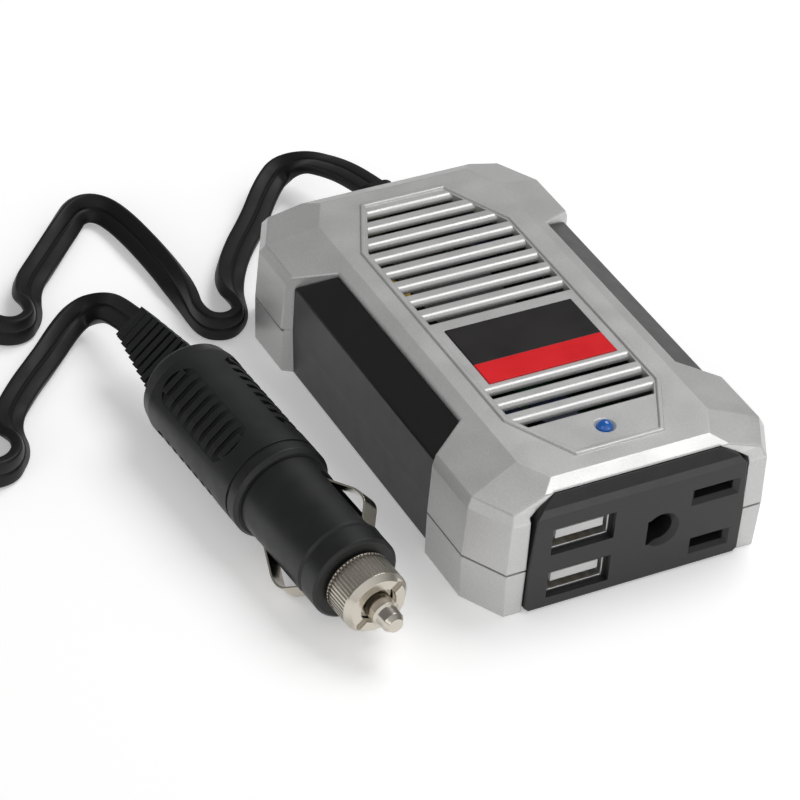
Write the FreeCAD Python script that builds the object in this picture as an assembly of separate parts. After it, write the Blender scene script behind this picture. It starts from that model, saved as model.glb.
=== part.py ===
"""Pocket power inverter: a two-shell case with an outlet and two USB ports, a flat cord and a 12 V plug.

Millimetres. The origin is under the middle of the case, +X is to the right seen from the front,
+Y runs from the front panel to the cord, and +Z is up. The case stands on z = 0.
"""
import FreeCAD, Part
import math
import os
from FreeCAD import Vector, Placement, Rotation

# case
CASE_LENGTH = 113.1
CASE_HALF = CASE_LENGTH / 2
PANEL_PROUD = 0.7
SHELL_FRONT = -CASE_HALF + PANEL_PROUD
PARTING_Z = 11.0
PARTING_GAP = 0.5
PARTING_DEEP = 0.6
EDGE_ROUND = 0.5
LIP_ROUND = 0.6
PANEL_ROUND = 0.3
CASE_TOP = 28.14
WALL = 2.0
SHELL_SIDE = [(34.1, 0), (34.6, PARTING_Z), (34.3, 22.6), (33.2, 24.65), (22.06, CASE_TOP)]
SHELL_END = [(0.2, 0), (0, PARTING_Z), (0.2, 22.6), (1.5, 24.65), (2.3, 26.8), (5.5, CASE_TOP)]
SHELL_CORNER = [(52.4, 0), (52.9, PARTING_Z), (52.6, 22.6), (51.3, 24.65), (40.3, CASE_TOP)]
CORNER_ANGLE = 29.0
OVERSIZE = 80.0

# grips and the notches that hold them
NOTCH_MIDDLE = 0.9
NOTCH_X = 25.1
NOTCH_HALF = 26.9
NOTCH_FLARE = 6.1 / 9.5
GRIP_GAP = 0.2
GRIP_THICK = 3.0
GRIP_SIDE = [(32.1, 0.3), (32.7, PARTING_Z), (32.8, 22.2), (NOTCH_X + GRIP_GAP, 26.3)]

# front panel
PANEL_FACE = [(23.9, 0.3), (24.8, 1.2), (24.9, PARTING_Z), (24.1, 23.45)]
PANEL_BEVEL_TOP = 25.1
PANEL_BEVEL_X = 22.6
PANEL_TOP = 26.7
PANEL_TOP_X = 19.0
PANEL_TOP_BACK = 2.3
PANEL_DEPTH = 3.0
OPENING = [(25.1, 0), (25.1, 23.6), (19.15, 26.85)]
PANEL_FLANGE = 1.4

# outlet
SLOT_X = 17.4
HOT_Z = 5.25
NEUTRAL_Z = 17.95
HOT_HOLE = (7.6, 2.4)
HOT_MOUTH = (9.4, 4.2)
NEUTRAL_HOLE = (9.0, 2.1)
NEUTRAL_MOUTH = (11.2, 4.1)
MOUTH_DEPTH = 1.0
GROUND_X = 5.4
GROUND_Z = 12.0
GROUND_RADIUS = 3.0
GROUND_FLAT = 3.4
GROUND_MOUTH_EXTRA = 1.1
OUTLET_X = (0.9, 23.0)
OUTLET_Z = (2.5, 22.2)
OUTLET_DEPTH = 19.0
HOLE_DEPTH = 17.5
BLADE_SPRING = 0.5
TAIL_HALF = 1.5

# USB ports
USB_X = -13.1
USB_Z = (5.95, 16.9)
USB_MOUTH = (14.3, 6.55)
USB_RECESS = 1.5
USB_OPENING = (12.3, 5.0)
USB_METAL = 0.35
USB_DEPTH = 12.5
TONGUE = (10.8, 2.1)
TONGUE_DROP = 1.2
TONGUE_LENGTH = 12.2
TONGUE_BACK = 1.5
USB_SPRINGS = (-3.5, -1.0, 1.0, 3.5)
SPRING_HALF = 0.5
SPRING_THICK = 0.2
USB_BOARD_HALF = 8.5
USB_BOARD_Z = (2.4, 22.0)
USB_BOARD_THICK = 1.6

# top: vents, bead, label and lamp
BEAD = [(10.15, 47.15), (18.3, 30.95), (18.3, -31.25), (10.15, -46.25)]
BEAD_WIDE = 1.1
BEAD_HIGH = 0.45
VENT_PITCH = 5.4
VENT_OPEN = 2.5
VENT_FIRST = 2.95
VENT_ROWS = [-7, -6, -5, 0, 1, 2, 3, 4, 5, 6, 7]
VENT_HALF = 16.7
VENT_MARGIN = 0.5
SLAT_THICK = 1.4
SLAT_ROUND = 1.2
LABEL_X = 14.9
LABEL_Y = (-19.35, -0.15)
LABEL_THICK = 0.4
LAMP_Y = -40.05
LAMP_RADIUS = 1.6
LAMP_RING = 2.3
LAMP_RING_DEEP = 0.6
LAMP_DEPTH = 5.0
LABEL_SINK = 0.2
LABEL_GAP = 0.1
BAND_DEEP = 6.6

# inside
BOARD_Z = 5.2
BOARD_THICK = 1.6
BOARD_X = 21.5
BOARD_Y = (-32.2, 49.0)
BOARD_TOP = BOARD_Z + BOARD_THICK
BOARD_HOLE = 1.3
POST_RADIUS = 2.6
POST_SINK = 0.5
CASE_POSTS = [(-24.5, -29.5), (-24.5, 45.0), (24.5, -29.5), (24.5, 45.0)]
BOARD_POSTS = [(-18.5, -27.5), (-18.5, 44.5), (18.5, -27.5), (18.5, 44.5)]
SCREW_RADIUS = 1.25
SCREW_BITE = 8.0
SCREW_LENGTH = 15.5
SCREW_HOLE = 1.6
SCREW_HEAD = (2.3, 1.6)
SCREW_HEAD_HOLE = (2.4, 2.0)
SCREW_HEAD_Z = 0.4
SCREW_CROSS = (1.6, 0.3, 0.7)
BOARD_SCREW_HEAD = (2.2, 1.4)
BOARD_SCREW_RADIUS = 0.95
BOARD_SCREW_HOLE = 1.0
BOARD_SCREW_LOW = 1.6
CORE_BOX = (9.5, (4.0, 24.0), 14.0)
CORE_WINDOW = (7.0, 3.0, 11.0)
CORE_LEG = 2.6
WINDING_BOX = (6.8, (1.5, 26.5), 3.2, 10.8)
CAN = (5.0, 15.5)
CAN_PLACES = [(-13.5, -22.0), (-2.5, -25.0), (13.5, 35.0)]
TRANSISTOR_X = (13.8, 18.2)
TRANSISTOR_Y = [-8.0, 4.0, 16.0]
TRANSISTOR_SIZE = (10.0, 1.0, 15.0)
SINK_X = (18.2, 20.2)
SINK_Y = (-10.0, 28.0)
SINK_Z = (0.2, 14.5)
RING_COIL = (5.2, 2.6)
RING_PLACE = (-9.5, 35.5)
BOARD_FUSE = (2.6, 15.0)
BOARD_FUSE_PLACE = (-2.0, 44.5)

# cord: flat ribbon section, its route and its coil
CORD_WIDE = 6.6
CORD_THICK = 3.3
CORD_RADIUS = math.sqrt(CORD_WIDE * CORD_THICK / math.pi)
GLAND_Z = 14.8
GLAND_X = 5.0
GLAND_REACH = 12.0
GLAND_RINGS = 5
COIL_MIDDLE = (-147.0, 66.0)
COIL_RADIUS = 35.8
COIL_SECTION = (12.4, 8.6)
TIE_HALF = 3.0
TIE_THICK = 1.2
ROUTE_OUT = [(5.0, 68.4, 14.8), (3.9, 76.0, 14.0), (2.1, 84.5, 11.9), (0.2, 92.6, 8.6),
             (-4.6, 95.6, 5.8), (-9.8, 91.9, 4.2), (-17.6, 82.3, 3.5), (-26.3, 73.2, 3.4),
             (-34.0, 61.5, 3.4), (-35.2, 51.0, 3.4), (-40.1, 47.8, 3.4), (-45.0, 51.0, 3.4),
             (-43.6, 64.0, 3.4), (-43.9, 80.0, 3.4), (-45.6, 95.0, 3.4), (-48.3, 100.2, 3.4),
             (-52.6, 100.8, 3.4), (-57.2, 96.4, 3.4), (-67.0, 86.2, 3.4), (-75.5, 77.2, 3.4),
             (-77.4, 66.4, 3.4), (-82.3, 63.4, 3.4), (-87.2, 66.2, 3.4), (-88.0, 76.0, 3.4),
             (-92.5, 86.5, 3.4), (-104.0, 94.0, 3.4), (-121.0, 98.3, 3.6), (-137.7, 100.8, 4.5)]
ROUTE_BACK = [(-147.0, 33.6, 7.0), (-134.5, 31.5, 8.6), (-122.5, 27.5, 7.6), (-112.0, 21.8, 4.2),
              (-102.5, 19.6, 3.4), (-96.9, 26.0, 3.4), (-97.6, 35.0, 3.4), (-90.2, 44.2, 3.4),
              (-80.3, 53.4, 3.4), (-73.0, 60.6, 3.4), (-68.0, 63.6, 4.4), (-64.4, 60.4, 7.2),
              (-63.7, 53.6, 10.6), (-63.3, 45.4, 12.3)]

# plug, built along +Z from the collar's front face and then laid on the floor
PLUG_FRONT = Vector(-56.9, -44.75, 10.45)
PLUG_YAW = 4.1
PLUG_RISE = 1.2
PLUG_ROLL = 42.0
COLLAR_RADIUS = 9.5
COLLAR_LENGTH = 5.0
NECK_RADIUS = 6.0
BARREL_RADIUS = 9.65
BARREL_REAR = 28.0
HANDLE_RADIUS = 11.0
HANDLE_REAR = 70.5
PLUG_WALL = 2.0
NUT_RADIUS = 7.1
NUT_LENGTH = 8.6
NUT_HOLE = 4.0
KNURLS = 54
PAD_LONG = 26.0
PAD_WIDE = 12.0
PAD_DEPTH = 9.9
PAD_MIDDLE = -(HANDLE_REAR + BARREL_REAR) / 2 - 0.5
RIB_HIGH = 0.8
RIB_HALF = 0.75
RIB_END_GAP = 0.9
PAD_RIBS = 9
CONTACT_WIDE = 4.6
CONTACT_SHEET = 0.45
CONTACT_REAR = -23.0
CONTACT_FRONT = -6.6
CONTACT_BOW = 3.4
BOOT_LENGTH = 19.5
BOOT_RIBS = 8
BOOT_WIDE = (6.2, 4.1)
BOOT_THICK = (4.9, 3.0)
TIP_OUTLINE = [(0, 4.9), (4.6, 4.9), (4.6, 6.8), (2.9, 6.8), (2.9, 11.2), (2.4, 11.6),
               (2.3, 13.9), (1.6, 15.0), (0, 15.3)]
FUSE_OUTLINE = [(0, 4.8), (3.0, 4.8), (3.0, 0.2), (2.85, 0.2), (2.85, -19.8), (3.0, -19.8),
                (3.0, -25.0), (0, -25.0)]
SPRING_OUTLINE = [(1.9, -28.2), (2.9, -28.2), (2.9, -36.0), (1.9, -36.0)]
SEAT_OUTLINE = [(0, -36.1), (6.0, -36.1), (6.0, -37.4), (0, -37.4)]


def export(name, shape):
    """Write one node, checked to be made of valid closed solids."""
    if shape.isNull() or not shape.isValid() or not shape.Solids:
        raise RuntimeError("bad shape: " + name)
    if len(shape.Solids) == 1:
        shape = shape.Solids[0]
    shape.exportStep("parts/" + name + ".step")
    print(name, len(shape.Solids), round(shape.Volume, 1))


def box(low, high):
    """Return the box between two corners."""
    return Part.makeBox(high[0] - low[0], high[1] - low[1], high[2] - low[2], Vector(*low))


def prism(points, way):
    """Extrude the closed outline of the points along the vector way."""
    wire = Part.makePolygon(points + [points[0]])
    return Part.Face(wire).extrude(way)


def rod(radius, start, way, length):
    """Return a round rod."""
    return Part.makeCylinder(radius, length, start, way)


def mirrored(outline):
    """Return a closed (x, z) outline from its right half, given bottom to top."""
    return outline + [(-x, z) for x, z in reversed(outline)]


def along_y(outline, low, high):
    """Extrude an (x, z) outline from y = low to y = high."""
    return prism([Vector(x, low, z) for x, z in outline], Vector(0, high - low, 0))


def envelope(inset):
    """Return the outer shape of the case, drawn in by inset on every face."""
    top = CASE_TOP - inset
    slope_inset = inset * 1.04
    side = [(x - inset, z if z else inset) for x, z in SHELL_SIDE[:-1]]
    side.append((SHELL_SIDE[-1][0] - inset * 0.2, top))
    side[-2] = (side[-2][0], side[-2][1] - slope_inset + inset * 0.3)
    body = along_y(mirrored(side), -OVERSIZE, OVERSIZE)
    front = [(SHELL_FRONT + d + inset, z if z else inset) for d, z in SHELL_END[:-1]]
    front.append((SHELL_FRONT + SHELL_END[-1][0] + inset * 0.3, top))
    shift = inset * 0.7
    front[3] = (front[3][0], front[3][1] - shift)
    front[4] = (front[4][0], front[4][1] - shift)
    rear = [(CASE_HALF - (y - SHELL_FRONT), z) for y, z in front]
    ends = [Vector(-OVERSIZE, y, z) for y, z in front + list(reversed(rear))]
    body = body.common(prism(ends, Vector(2 * OVERSIZE, 0, 0)))
    corner = [(d - inset, z if z else inset) for d, z in SHELL_CORNER[:-1]]
    corner.append((SHELL_CORNER[-1][0], top))
    outline = [(-OVERSIZE, inset)] + corner + [(-OVERSIZE, top)]
    for side_sign in (1, -1):
        for end_sign in (1, -1):
            angle = end_sign * CORNER_ANGLE if side_sign > 0 else 180 - end_sign * CORNER_ANGLE
            cutter = along_y(outline, -OVERSIZE, OVERSIZE)
            cutter.rotate(Vector(0, 0, 0), Vector(0, 0, 1), angle)
            body = body.common(cutter)
    return body


def notch(side, gap, inner):
    """Return the plan of a grip's notch as a tall solid; inner is its inside x, gap shrinks it."""
    half = NOTCH_HALF - gap
    reach = OVERSIZE - inner
    flare = reach * NOTCH_FLARE
    points = [(inner, NOTCH_MIDDLE - half), (OVERSIZE, NOTCH_MIDDLE - half - flare),
              (OVERSIZE, NOTCH_MIDDLE + half + flare), (inner, NOTCH_MIDDLE + half)]
    return prism([Vector(side * x, y, -1) for x, y in points], Vector(0, 0, CASE_TOP + 2))


def grip_inner():
    """Return the (x, z) outline of a grip's inside face, from the floor up."""
    return [(GRIP_SIDE[0][0] - GRIP_THICK, -1), (GRIP_SIDE[1][0] - GRIP_THICK, PARTING_Z),
            (GRIP_SIDE[2][0] - GRIP_THICK, GRIP_SIDE[2][1] - 1.9), (NOTCH_X, GRIP_SIDE[3][1] - GRIP_THICK)]


def recess(side):
    """Return the solid cut from the shells for one grip."""
    outline = grip_inner() + [(NOTCH_X, OVERSIZE), (OVERSIZE, OVERSIZE), (OVERSIZE, -1)]
    tool = along_y([(side * x, z) for x, z in outline], -OVERSIZE, OVERSIZE)
    return tool.common(notch(side, 0, NOTCH_X))


def grip(side):
    """Return one soft grip: a bent skin that sits in its recess just below the shell's surface."""
    inner = [(x + GRIP_GAP, z) for x, z in grip_inner()]
    inner[0] = (inner[0][0], GRIP_SIDE[0][1])
    outline = list(reversed(GRIP_SIDE)) + inner
    body = along_y([(side * x, z) for x, z in outline], -OVERSIZE, OVERSIZE)
    body = body.common(notch(side, GRIP_GAP * 1.4, NOTCH_X + GRIP_GAP))
    crease = Vector(side * GRIP_SIDE[2][0], 0, GRIP_SIDE[2][1])
    edges = [e for e in body.Edges if e.Length > 40
             and abs(e.CenterOfMass.x - crease.x) < 0.05 and abs(e.CenterOfMass.z - crease.z) < 0.05]
    return body.makeFillet(1.0, edges)


def cavity():
    """Return the space inside the shells."""
    space = envelope(WALL)
    for side in (1, -1):
        outline = [(x - WALL, z) for x, z in grip_inner()]
        outline[-1] = (outline[-1][0], outline[-1][1] - WALL * 0.6)
        outline[-2] = (outline[-2][0], outline[-2][1] - WALL * 0.6)
        outline += [(NOTCH_X - WALL, OVERSIZE), (OVERSIZE, OVERSIZE), (OVERSIZE, -1)]
        tool = along_y([(side * x, z) for x, z in outline], -OVERSIZE, OVERSIZE)
        space = space.cut(tool.common(notch(side, -WALL * 1.2, NOTCH_X - WALL)))
    return space


def vent(row):
    """Return one slot through the top, with its rear edge rounded over where the next slat begins."""
    y = VENT_FIRST + VENT_PITCH * row
    edge = y + VENT_OPEN
    slot = box((-VENT_HALF, y, CASE_TOP - 2 * WALL), (VENT_HALF, edge, CASE_TOP + 1))
    block = box((-VENT_HALF, edge - 0.1, CASE_TOP - SLAT_ROUND), (VENT_HALF, edge + SLAT_ROUND, CASE_TOP + 1))
    round_part = rod(SLAT_ROUND, Vector(-VENT_HALF - 1, edge + SLAT_ROUND, CASE_TOP - SLAT_ROUND),
                     Vector(1, 0, 0), 2 * VENT_HALF + 2)
    inside_bead = octagon(-BEAD_WIDE - VENT_MARGIN, CASE_TOP - 3 * WALL, CASE_TOP + 2)
    return slot.fuse(block.cut(round_part)).common(inside_bead)


def octagon(grow, low, high):
    """Return the octagon round the vents as a solid, grown by grow."""
    points = []
    for x, y in BEAD:
        at_end = abs(x) == BEAD[0][0]
        side_grow = grow * (0.5 if at_end else 1)
        end_grow = grow * (1 if at_end else 0.25) * math.copysign(1, y)
        points.append((x + side_grow, y + end_grow))
    points += [(-x, y) for x, y in reversed(points)]
    return prism([Vector(x, y, low) for x, y in points], Vector(0, 0, high - low))


def bead():
    """Return the raised double line round the vents."""
    inside = octagon(-BEAD_WIDE, CASE_TOP - 1, CASE_TOP + 1)
    ring = octagon(0, CASE_TOP - 0.5, CASE_TOP + BEAD_HIGH).cut(inside)
    tops = [e for e in ring.Edges if e.BoundBox.ZMin > CASE_TOP + BEAD_HIGH - 0.01]
    return ring.makeFillet(0.25, tops)


def opening_cut():
    """Return the tool for the opening in the front of the shells."""
    return along_y(mirrored([(OPENING[0][0], -1)] + OPENING[1:]), -OVERSIZE, SHELL_FRONT + 6)


def gland_hole(grow):
    """Return the round-ended slot through the rear wall for the cord's gland."""
    radius = 2.6 + grow
    half = 1.9
    start = CASE_HALF - 6
    slot = box((GLAND_X - half, start, GLAND_Z - radius), (GLAND_X + half, CASE_HALF + 3, GLAND_Z + radius))
    for way in (-1, 1):
        slot = slot.fuse(rod(radius, Vector(GLAND_X + way * half, start, GLAND_Z), Vector(0, 1, 0), 9))
    return slot


def lip_edges(body, outer):
    """Return the edges where the notches' walls come out through the case's outer skin."""
    skin = outer.Shells[0]
    found = []
    for edge in body.Edges:
        middle = edge.valueAt((edge.FirstParameter + edge.LastParameter) / 2)
        half = NOTCH_HALF + (abs(middle.x) - NOTCH_X) * NOTCH_FLARE
        at_end = abs(abs(middle.y - NOTCH_MIDDLE) - half) < 0.02
        at_wall = abs(abs(middle.x) - NOTCH_X) < 0.02 and abs(middle.y - NOTCH_MIDDLE) < NOTCH_HALF
        low = middle.z < EDGE_ROUND
        if (at_end or at_wall) and not low and skin.distToShape(Part.Vertex(middle))[0] < 0.01:
            found.append(edge)
    return found


def shells():
    """Return the bottom and top shells, which meet on the parting plane."""
    outer = envelope(0)
    outer = outer.makeFillet(EDGE_ROUND, [e for e in outer.Edges if e.BoundBox.ZMin > PARTING_Z + 1])
    body = outer
    for side in (1, -1):
        body = body.cut(recess(side))
    body = body.makeFillet(LIP_ROUND, lip_edges(body, outer))
    body = body.cut(opening_cut()).cut(cavity()).cut(gland_hole(0.1))
    below = box((-OVERSIZE, -OVERSIZE, -1), (OVERSIZE, OVERSIZE, PARTING_Z))
    seam = box((-OVERSIZE, -OVERSIZE, PARTING_Z - PARTING_GAP), (OVERSIZE, OVERSIZE, PARTING_Z + 1))
    bottom = body.common(box((-OVERSIZE, -OVERSIZE, 0), (OVERSIZE, OVERSIZE, PARTING_Z)))
    bottom = bottom.cut(seam.cut(envelope(PARTING_DEEP)))
    return bottom_posts(bottom).removeSplitter(), top_details(body.cut(below)).removeSplitter()


def bottom_posts(bottom):
    """Return the bottom shell with its posts for the case screws and for the board's screws."""
    up = Vector(0, 0, 1)
    low = WALL - POST_SINK
    for x, y in CASE_POSTS:
        bottom = bottom.fuse(rod(POST_RADIUS, Vector(x, y, low), up, PARTING_Z - low))
        bottom = bottom.cut(rod(SCREW_HOLE, Vector(x, y, -1), up, OVERSIZE))
        bottom = bottom.cut(rod(SCREW_HEAD_HOLE[0], Vector(x, y, 0), up, SCREW_HEAD_HOLE[1]))
    for x, y in BOARD_POSTS:
        bottom = bottom.fuse(rod(POST_RADIUS, Vector(x, y, low), up, BOARD_Z - low))
        bottom = bottom.cut(rod(BOARD_SCREW_HOLE, Vector(x, y, 1.0), up, BOARD_Z))
    return bottom


def top_details(top):
    """Return the top shell with its screw stubs, bead, thin slats, label recess and lamp hole."""
    up = Vector(0, 0, 1)
    skin = envelope(WALL / 2)
    for x, y in CASE_POSTS:
        stub = rod(POST_RADIUS, Vector(x, y, PARTING_Z), up, OVERSIZE).common(skin)
        top = top.fuse(stub).cut(rod(SCREW_RADIUS, Vector(x, y, PARTING_Z - 1), up, SCREW_BITE + 1))
    top = top.fuse(bead())
    top = top.cut(octagon(-BEAD_WIDE - VENT_MARGIN, CASE_TOP - 2 * WALL, CASE_TOP - SLAT_THICK))
    for row in VENT_ROWS:
        top = top.cut(vent(row))
    top = top.cut(box((-LABEL_X - LABEL_GAP, LABEL_Y[0] - LABEL_GAP, CASE_TOP - LABEL_SINK),
                      (LABEL_X + LABEL_GAP, LABEL_Y[1] + LABEL_GAP, CASE_TOP + 1)))
    top = top.cut(rod(LAMP_RADIUS + 0.05, Vector(0, LAMP_Y, CASE_TOP - LAMP_DEPTH - 1), up, OVERSIZE))
    ring = Part.makeCone(LAMP_RADIUS, LAMP_RING, LAMP_RING_DEEP, Vector(0, LAMP_Y, CASE_TOP - LAMP_RING_DEEP))
    return top.cut(ring)


def rounded_slot(x, z, wide, high, low, deep):
    """Return a rectangular hole along Y from the panel's face."""
    return box((x - wide / 2, low, z - high / 2), (x + wide / 2, low + deep, z + high / 2))


def tapered(x, z, mouth, hole, deep):
    """Return a rectangular recess that narrows from the mouth to the hole, into the panel's face."""
    loops = []
    corners = ((-1, -1), (1, -1), (1, 1), (-1, 1))
    for (wide, high), y in ((mouth, -CASE_HALF - 0.01), (hole, -CASE_HALF + deep)):
        points = [Vector(x + sx * wide / 2, y, z + sz * high / 2) for sx, sz in corners]
        loops.append(Part.makePolygon(points + [points[0]]))
    return Part.makeLoft(loops, True, True)


def ground_hole(grow, low, deep):
    """Return the hole with one flat side for the ground pin, as a solid grown by grow."""
    hole = rod(GROUND_RADIUS + grow, Vector(GROUND_X, low, GROUND_Z), Vector(0, 1, 0), deep)
    square = box((GROUND_X - GROUND_FLAT - grow, low, GROUND_Z - GROUND_RADIUS - grow),
                 (GROUND_X, low + deep, GROUND_Z + GROUND_RADIUS + grow))
    return hole.fuse(square)


def front_panel():
    """Return the black front panel: a flat face, a narrow bevel, a sloped top and a flange behind."""
    body = along_y(mirrored(PANEL_FACE), -CASE_HALF, -CASE_HALF + PANEL_DEPTH)
    steps = [(*PANEL_FACE[-1], -CASE_HALF), (PANEL_BEVEL_X, PANEL_BEVEL_TOP, SHELL_FRONT),
             (PANEL_TOP_X, PANEL_TOP, SHELL_FRONT + PANEL_TOP_BACK)]
    rear_y = -CASE_HALF + PANEL_DEPTH
    for low, high in zip(steps, steps[1:]):
        body = body.fuse(wedge(low, high, rear_y))
    body = body.removeSplitter()
    body = body.makeFillet(PANEL_ROUND, [e for e in body.Edges if e.BoundBox.YMax < -CASE_HALF + 0.01])
    flange = [(26.5, 2.3), (26.5, 17.5), (22.0, 22.7)]
    flange_y = SHELL_FRONT + WALL + 0.4
    collar = along_y(mirrored([(24.0, 2.3), (24.0, 20.0), (20.0, 23.0)]), rear_y - 0.1, flange_y)
    body = body.fuse(collar).fuse(along_y(mirrored(flange), flange_y, flange_y + PANEL_FLANGE))
    through = flange_y + PANEL_FLANGE + CASE_HALF + 1
    for z, mouth, hole in ((HOT_Z, HOT_MOUTH, HOT_HOLE), (NEUTRAL_Z, NEUTRAL_MOUTH, NEUTRAL_HOLE)):
        body = body.cut(tapered(SLOT_X, z, mouth, hole, MOUTH_DEPTH))
        body = body.cut(rounded_slot(SLOT_X, z, hole[0], hole[1], -CASE_HALF, through))
    cone = Part.makeCone(GROUND_RADIUS + GROUND_MOUTH_EXTRA, GROUND_RADIUS, GROUND_MOUTH_EXTRA,
                         Vector(GROUND_X, -CASE_HALF, GROUND_Z), Vector(0, 1, 0))
    right = box((GROUND_X - GROUND_FLAT, -OVERSIZE, 0), (OVERSIZE, OVERSIZE, OVERSIZE))
    body = body.cut(cone.common(right))
    body = body.cut(ground_hole(0, -CASE_HALF, through))
    for z in USB_Z:
        body = body.cut(rounded_slot(USB_X, z, *USB_MOUTH, -CASE_HALF - 0.1, USB_RECESS + 0.1))
        wide = USB_OPENING[0] + 2 * USB_METAL + 0.1
        high = USB_OPENING[1] + 2 * USB_METAL + 0.1
        body = body.cut(rounded_slot(USB_X, z, wide, high, -CASE_HALF, through))
    return body.removeSplitter()


def wedge(low, high, rear_y):
    """Return the solid behind a sloped strip, from its (half width, z, y) lower edge to its upper edge."""
    block = along_y(mirrored([(low[0], low[1]), (high[0], high[1])]), low[2], rear_y)
    side = [Vector(-OVERSIZE, low[2], low[1]), Vector(-OVERSIZE, high[2], high[1])]
    if high[2] < rear_y:
        side.append(Vector(-OVERSIZE, rear_y, high[1]))
    side.append(Vector(-OVERSIZE, rear_y, low[1]))
    return block.common(prism(side, Vector(2 * OVERSIZE, 0, 0)))


def blade_contact(z, hole, face_y):
    """Return one blade's contact: two leaves, the bridge behind them and a tail."""
    rear = face_y + HOLE_DEPTH - 0.4
    half = hole[0] / 2 - 0.4
    near = hole[1] / 2 + 0.05
    contact = box((SLOT_X - half, rear - BLADE_SPRING, z - near), (SLOT_X + half, rear, z + near))
    for low in (z - near - BLADE_SPRING, z + near):
        leaf = box((SLOT_X - half, face_y + 2.4, low), (SLOT_X + half, rear, low + BLADE_SPRING))
        contact = contact.fuse(leaf)
    tail = box((SLOT_X - TAIL_HALF, rear - 0.1, z - 0.4),
               (SLOT_X + TAIL_HALF, face_y + OUTLET_DEPTH + 0.4, z + 0.4))
    return contact.fuse(tail)


def outlet():
    """Return the outlet's housing and its three contacts."""
    face_y = SHELL_FRONT + WALL + 0.4 + PANEL_FLANGE
    body = box((OUTLET_X[0], face_y, OUTLET_Z[0]), (OUTLET_X[1], face_y + OUTLET_DEPTH, OUTLET_Z[1]))
    contacts = {}
    for name, z, hole in (("hot_contact", HOT_Z, HOT_HOLE), ("neutral_contact", NEUTRAL_Z, NEUTRAL_HOLE)):
        pocket_high = hole[1] + 2 * BLADE_SPRING + 0.2
        body = body.cut(rounded_slot(SLOT_X, z, hole[0], hole[1], face_y - 1, 4))
        body = body.cut(rounded_slot(SLOT_X, z, hole[0], pocket_high, face_y + 2, HOLE_DEPTH - 2))
        body = body.cut(rounded_slot(SLOT_X, z, 2 * TAIL_HALF + 0.4, 1.2, face_y + HOLE_DEPTH - 1, 4))
        contacts[name] = blade_contact(z, hole, face_y)
    body = body.cut(ground_hole(0.8, face_y + 2, HOLE_DEPTH - 2)).cut(ground_hole(0, face_y - 1, 4))
    ring = ground_hole(0.7, face_y + 2.4, HOLE_DEPTH - 3).cut(ground_hole(0.1, face_y + 2, HOLE_DEPTH))
    top = GROUND_Z + GROUND_RADIUS
    rear = face_y + OUTLET_DEPTH
    tail = box((GROUND_X - TAIL_HALF, face_y + HOLE_DEPTH - 1.6, top + 0.1),
               (GROUND_X + TAIL_HALF, rear + 0.4, top + 0.7))
    body = body.cut(box((GROUND_X - TAIL_HALF - 0.2, face_y + HOLE_DEPTH - 2, top),
                        (GROUND_X + TAIL_HALF + 0.2, rear + 1, top + 0.9)))
    contacts["ground_contact"] = ring.fuse(tail)
    return body, contacts


def usb_ports():
    """Return the two metal shells, the two tongues, their contact springs and the small board behind them."""
    metal = []
    tongues = []
    springs = []
    front = -CASE_HALF + USB_RECESS
    rear = front + USB_DEPTH
    wide = USB_OPENING[0]
    high = USB_OPENING[1]
    for z in USB_Z:
        outer = rounded_slot(USB_X, z, wide + 2 * USB_METAL, high + 2 * USB_METAL, front, USB_DEPTH)
        metal.append(outer.cut(rounded_slot(USB_X, z, wide, high, front - 1, USB_DEPTH + 2)))
        top = z + high / 2 - TONGUE_DROP
        low = top - TONGUE[1]
        blade = box((USB_X - TONGUE[0] / 2, rear - TONGUE_LENGTH, low), (USB_X + TONGUE[0] / 2, rear, top))
        back = rounded_slot(USB_X, z, wide - 0.04, high - 0.04, rear - TONGUE_BACK, TONGUE_BACK)
        tongues.append(blade.fuse(back))
        for place in USB_SPRINGS:
            springs.append(box((USB_X + place - SPRING_HALF, rear - TONGUE_LENGTH + 0.6, low - SPRING_THICK),
                               (USB_X + place + SPRING_HALF, rear - TONGUE_BACK - 0.1, low)))
    board = box((USB_X - USB_BOARD_HALF, rear + 0.1, USB_BOARD_Z[0]),
                (USB_X + USB_BOARD_HALF, rear + 0.1 + USB_BOARD_THICK, USB_BOARD_Z[1]))
    return metal, tongues, springs, board


def label_and_lamp():
    """Return the label's plate, its coloured band and the lamp."""
    low = CASE_TOP - LABEL_SINK
    plate = box((-LABEL_X, LABEL_Y[0], low), (LABEL_X, LABEL_Y[1], low + LABEL_THICK))
    cutter = box((-OVERSIZE, -OVERSIZE, 0), (OVERSIZE, LABEL_Y[0] + BAND_DEEP, OVERSIZE))
    lamp = rod(LAMP_RADIUS, Vector(0, LAMP_Y, CASE_TOP - LAMP_DEPTH), Vector(0, 0, 1), LAMP_DEPTH + 0.1)
    dome = Part.makeSphere(LAMP_RADIUS, Vector(0, LAMP_Y, CASE_TOP + 0.1 - LAMP_RADIUS * 0.35))
    dome = dome.common(rod(LAMP_RING, Vector(0, LAMP_Y, CASE_TOP), Vector(0, 0, 1), LAMP_DEPTH))
    return plate.cut(cutter), plate.common(cutter), lamp.fuse(dome)


def main_board():
    """Return the main board with its four screw holes."""
    board = box((-BOARD_X, BOARD_Y[0], BOARD_Z), (BOARD_X, BOARD_Y[1], BOARD_TOP))
    for x, y in BOARD_POSTS:
        board = board.cut(rod(BOARD_HOLE, Vector(x, y, 0), Vector(0, 0, 1), OVERSIZE))
    return board


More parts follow.
